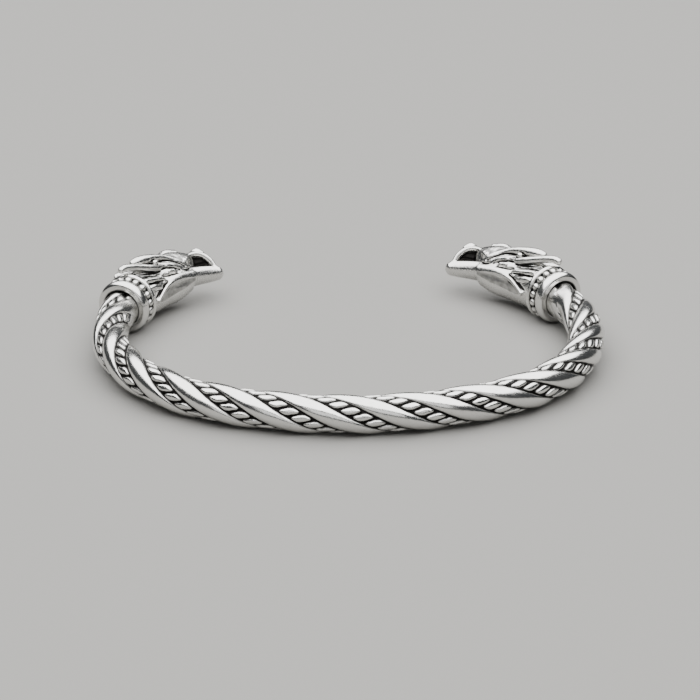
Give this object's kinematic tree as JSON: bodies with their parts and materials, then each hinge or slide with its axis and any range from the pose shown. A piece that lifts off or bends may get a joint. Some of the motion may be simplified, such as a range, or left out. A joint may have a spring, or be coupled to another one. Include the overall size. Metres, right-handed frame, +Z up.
{
  "type": "arm ring",
  "caption": "Open arm ring of smooth and beaded strands twisted together, which springs round a wrist, with a beaded collar and an open-mouthed beast's head at each end.",
  "frame": {"origin": "middle of the bounding box's bottom, on the surface that the ring lies on", "axes": "+X to the right across the closed front, +Y from the closed front to the opening between the heads, +Z up from the surface"},
  "size_m": [0.0714, 0.0549, 0.0093],
  "materials": {
    "band_steel": "polished, with fine scratches and blackened grooves",
    "collar_steel": "polished, blackened between the beads",
    "head_steel": "cast and polished, blackened in the recesses"
  },
  "bodies": {
    "root": {"twisted_band": "band_steel", "left_collar": "collar_steel", "right_collar": "collar_steel", "left_head": "head_steel", "right_head": "head_steel"}
  },
  "joints": []
}
